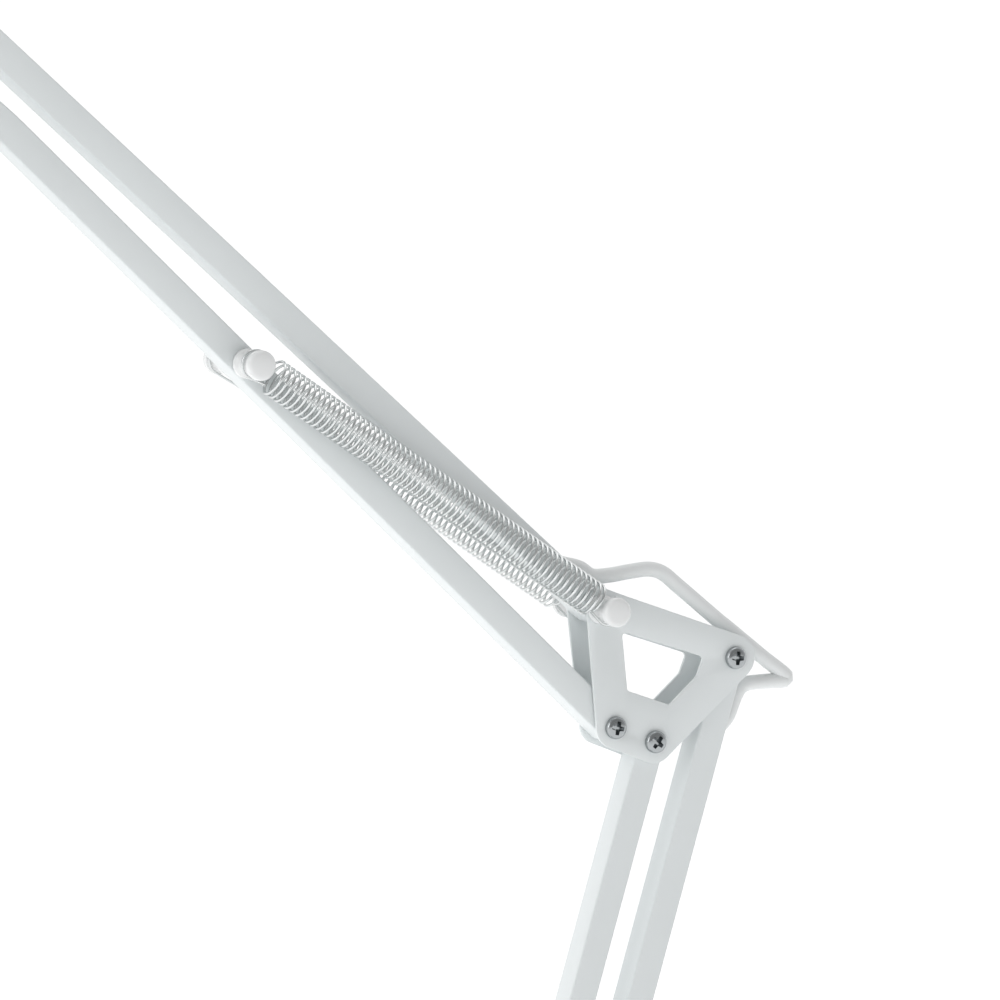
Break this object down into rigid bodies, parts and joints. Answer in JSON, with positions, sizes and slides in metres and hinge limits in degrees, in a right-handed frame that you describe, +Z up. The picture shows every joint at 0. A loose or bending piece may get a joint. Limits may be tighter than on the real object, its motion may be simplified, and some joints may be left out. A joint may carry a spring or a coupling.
{
  "type": "swing arm desk lamp",
  "caption": "Desk lamp on a weighted round base: two sprung parallel arms of square tube, an elbow of bracket plates, and a cone shade that tilts.",
  "frame": {"origin": "middle of the base's underside, on the desk", "axes": "+Z up, -Y front (the side the arms are seen from), arms lean and fold in the X-Z plane, the shade hangs towards -X"},
  "size_m": [0.4845, 0.336, 0.7529],
  "materials": {
    "white_paint": "satin powder coat",
    "zinc_steel": "zinc plated",
    "white_plastic": "moulded",
    "cast_weight": "rough",
    "pad_rubber": "matt",
    "holder_plastic": "moulded",
    "contact_brass": "bright",
    "bulb_glass": "opal"
  },
  "bodies": {
    "base": {"base_pad": "pad_rubber", "base_weight": "cast_weight", "base_cover": "white_paint", "base_socket": "white_paint", "socket_screws": "zinc_steel", "swivel_bush": "white_plastic", "lead_gland": "white_plastic", "cord_base": "white_plastic", "free_lead": "white_plastic", "lead_coil": "white_plastic", "plug": "white_plastic"},
    "bracket": {"swivel_post": "zinc_steel", "base_plate_front": "white_paint", "base_plate_rear": "white_paint", "block_screws": "zinc_steel", "base_pivot_screw": "zinc_steel", "base_pivot_nut": "zinc_steel", "base_bushes": "white_plastic", "base_spring_pin": "zinc_steel", "base_spools": "white_plastic", "cord_post": "white_plastic", "cord_loop_base": "white_plastic"},
    "lower_arm": {"lower_right_tube": "white_paint", "cord_lower": "white_plastic"},
    "lower_link": {"lower_left_tube": "white_paint", "lower_spring_pin": "zinc_steel", "lower_spools": "white_plastic", "lower_springs": "zinc_steel"},
    "elbow": {"elbow_plate_front": "white_paint", "elbow_plate_rear": "white_paint", "elbow_screws": "zinc_steel", "elbow_nuts": "zinc_steel", "elbow_bushes": "white_plastic", "elbow_spring_pin": "zinc_steel", "elbow_spools": "white_plastic", "cord_elbow_upper": "white_plastic", "cord_elbow_lower": "white_plastic"},
    "upper_arm": {"upper_top_tube": "white_paint", "cord_upper": "white_plastic"},
    "upper_link": {"upper_bottom_tube": "white_paint", "upper_spring_pin": "zinc_steel", "upper_spools": "white_plastic", "upper_springs": "zinc_steel"},
    "head": {"head_plate_front": "white_paint", "head_plate_rear": "white_paint", "head_screws": "zinc_steel", "head_nuts": "zinc_steel", "head_bushes": "white_plastic", "tilt_bolt": "zinc_steel", "cord_head_upper": "white_plastic", "cord_head_lower": "white_plastic"},
    "shade_unit": {"shade_stem": "zinc_steel", "stem_nut": "zinc_steel", "shade": "white_paint", "lampholder": "holder_plastic", "lampholder_shell": "contact_brass", "bulb_cap": "zinc_steel", "bulb_glass": "bulb_glass"},
    "tilt_knob_body": {"tilt_knob": "white_plastic"},
    "switch_body": {"switch_knob": "white_plastic"}
  },
  "joints": [
    {"name": "base_swivel", "type": "hinge", "parent": "base", "child": "bracket", "pos_m": [0, 0, 0.03], "axis": [0, 0, 1], "range_deg": [-150, 150]},
    {"name": "lower_arm_tilt", "type": "hinge", "parent": "bracket", "child": "lower_arm", "pos_m": [0.0153, 0, 0.0847], "axis": [0, -1, 0], "range_deg": [-12, 40], "deforming": ["cord_loop_base"]},
    {"name": "lower_link_tilt", "type": "hinge", "parent": "bracket", "child": "lower_link", "pos_m": [-0.0153, 0, 0.058], "axis": [0, -1, 0], "range_deg": [-12, 40], "deforming": ["lower_springs"]},
    {"name": "elbow_level", "type": "hinge", "parent": "lower_arm", "child": "elbow", "pos_m": [0.12704, 0, 0.4479], "axis": [0, -1, 0], "range_deg": [-40, 12], "deforming": ["cord_elbow_lower"]},
    {"name": "upper_arm_tilt", "type": "hinge", "parent": "elbow", "child": "upper_arm", "pos_m": [0.07573, 0, 0.4668], "axis": [0, -1, 0], "range_deg": [-10, 45], "deforming": ["cord_elbow_upper"]},
    {"name": "upper_link_tilt", "type": "hinge", "parent": "elbow", "child": "upper_link", "pos_m": [0.08134, 0, 0.4268], "axis": [0, -1, 0], "range_deg": [-10, 45], "deforming": ["upper_springs"]},
    {"name": "head_level", "type": "hinge", "parent": "upper_arm", "child": "head", "pos_m": [-0.22073, 0, 0.73533], "axis": [0, -1, 0], "range_deg": [-45, 10], "deforming": ["cord_head_upper"]},
    {"name": "shade_tilt", "type": "hinge", "parent": "head", "child": "shade_unit", "pos_m": [-0.25713, 0, 0.70533], "axis": [0, -1, 0], "range_deg": [-75, 8], "deforming": ["cord_head_lower"]},
    {"name": "tilt_knob_turn", "type": "hinge", "parent": "head", "child": "tilt_knob_body", "pos_m": [-0.25713, -0.012, 0.70533], "axis": [0, -1, 0], "range_deg": [-120, 90]},
    {"name": "switch_turn", "type": "hinge", "parent": "shade_unit", "child": "switch_body", "pos_m": [-0.27013, 0, 0.67633], "axis": [0, 0, 1], "range_deg": [0, 90]}
  ],
  "couplings": [
    {"joint": "lower_link_tilt", "follows": "lower_arm_tilt", "ratio": 1},
    {"joint": "elbow_level", "follows": "lower_arm_tilt", "ratio": -1},
    {"joint": "upper_link_tilt", "follows": "upper_arm_tilt", "ratio": 1},
    {"joint": "head_level", "follows": "upper_arm_tilt", "ratio": -1}
  ]
}
